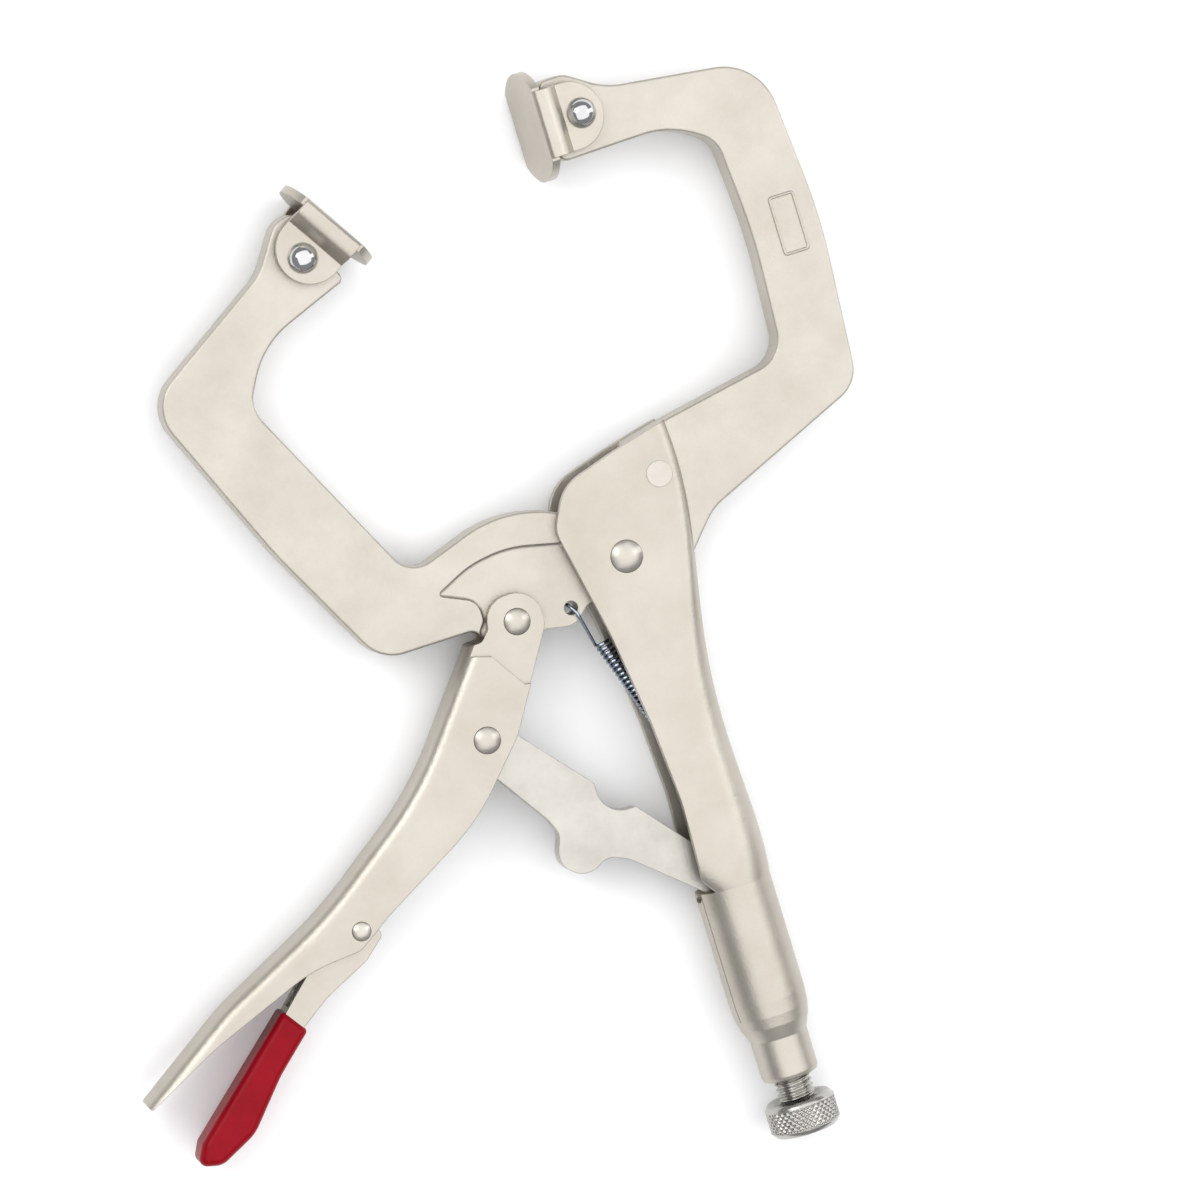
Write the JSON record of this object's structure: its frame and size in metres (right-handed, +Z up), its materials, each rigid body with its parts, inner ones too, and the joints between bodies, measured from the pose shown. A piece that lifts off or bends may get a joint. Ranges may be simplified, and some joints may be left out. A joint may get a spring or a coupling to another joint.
{
  "type": "locking c-clamp",
  "caption": "Locking C-clamp with swivel pads: two forged C arms, channel handles, toggle link, release lever with a red grip, opening spring and a knurled adjusting screw.",
  "frame": {"origin": "centre of the bounding box in plan, at the lowest point of the clamp lying on its side", "axes": "+Y along the adjusting screw towards the arms, +X towards the fixed arm's back, +Z up through the flat side"},
  "size_m": [0.2394, 0.2902, 0.0256],
  "materials": {
    "satin_nickel": "satin nickel plate over blasted steel",
    "bright_nickel": "bright nickel",
    "rivet_steel": "satin",
    "zinc_wire": "bright zinc wire",
    "red_vinyl": "glossy dipped vinyl"
  },
  "bodies": {
    "upper": {"upper_handle": "satin_nickel", "fixed_jaw": "satin_nickel", "fixed_jaw_rivet": "rivet_steel", "jaw_pivot_rivet": "rivet_steel", "spring_anchor": "rivet_steel", "opening_spring": "zinc_wire"},
    "jaw": {"movable_jaw": "satin_nickel"},
    "lower": {"lower_handle": "satin_nickel", "lower_handle_rivet": "rivet_steel", "toggle_rivet": "rivet_steel", "release_lever_rivet": "rivet_steel"},
    "link": {"toggle_link": "satin_nickel"},
    "lever": {"release_lever": "satin_nickel", "release_lever_grip": "red_vinyl"},
    "screw": {"adjusting_screw": "bright_nickel"},
    "knob": {"adjusting_knob": "bright_nickel"},
    "fixed_swivel": {"fixed_pad_ball": "bright_nickel"},
    "fixed_foot": {"fixed_pad": "satin_nickel"},
    "movable_swivel": {"movable_pad_ball": "bright_nickel"},
    "movable_foot": {"movable_pad": "satin_nickel"}
  },
  "joints": [
    {"name": "jaw_pivot", "type": "hinge", "parent": "upper", "child": "jaw", "pos_m": [0.04314, 0.0163, 0.0122], "axis": [0, 0, 1], "range_deg": [-27.5, 0], "stiffness_Nm_per_rad": 0.2, "springref_deg": 17.19},
    {"name": "lower_handle_pivot", "type": "hinge", "parent": "jaw", "child": "lower", "pos_m": [0.01044, 0.0088, 0.0122], "axis": [0, 0, 1], "range_deg": [0, 56.6]},
    {"name": "toggle_pivot", "type": "hinge", "parent": "lower", "child": "link", "pos_m": [-0.00656, -0.0183, 0.0122], "axis": [0, 0, 1], "range_deg": [-42, 0]},
    {"name": "release_lever_pivot", "type": "hinge", "parent": "lower", "child": "lever", "pos_m": [-0.05306, -0.0555, 0.0122], "axis": [0, 0, 1], "range_deg": [-8, 0]},
    {"name": "screw_slide", "type": "slide", "parent": "upper", "child": "screw", "axis": [0, 1, 0], "range_m": [-0.012, 0]},
    {"name": "knob_turn", "type": "hinge", "parent": "screw", "child": "knob", "pos_m": [0.04609, -0.1407, 0.0122], "axis": [0, 1, 0], "range_deg": [-2900, 0]},
    {"name": "fixed_pad_tilt", "type": "hinge", "parent": "upper", "child": "fixed_swivel", "pos_m": [0.06494, 0.1304, 0.0122], "axis": [0, 1, 0], "range_deg": [-14, 0]},
    {"name": "fixed_pad_turn", "type": "hinge", "parent": "fixed_swivel", "child": "fixed_foot", "pos_m": [0.06494, 0.1304, 0.0122], "axis": [0.1219, 0, 0.9925], "range_deg": [-12, 12]},
    {"name": "movable_pad_tilt", "type": "hinge", "parent": "jaw", "child": "movable_swivel", "pos_m": [-0.01546, 0.116, 0.0122], "axis": [-0.5388, 0.8425, 0], "range_deg": [-7, 7]},
    {"name": "movable_pad_turn", "type": "hinge", "parent": "movable_swivel", "child": "movable_foot", "pos_m": [-0.01546, 0.116, 0.0122], "axis": [0, 0, 1], "range_deg": [-12, 12]}
  ],
  "couplings": [
    {"joint": "lower_handle_pivot", "follows": "jaw_pivot", "ratio": -2.04},
    {"joint": "toggle_pivot", "follows": "jaw_pivot", "ratio": 1.51},
    {"joint": "knob_turn", "follows": "screw_slide", "rad_per_m": 4188.8}
  ]
}
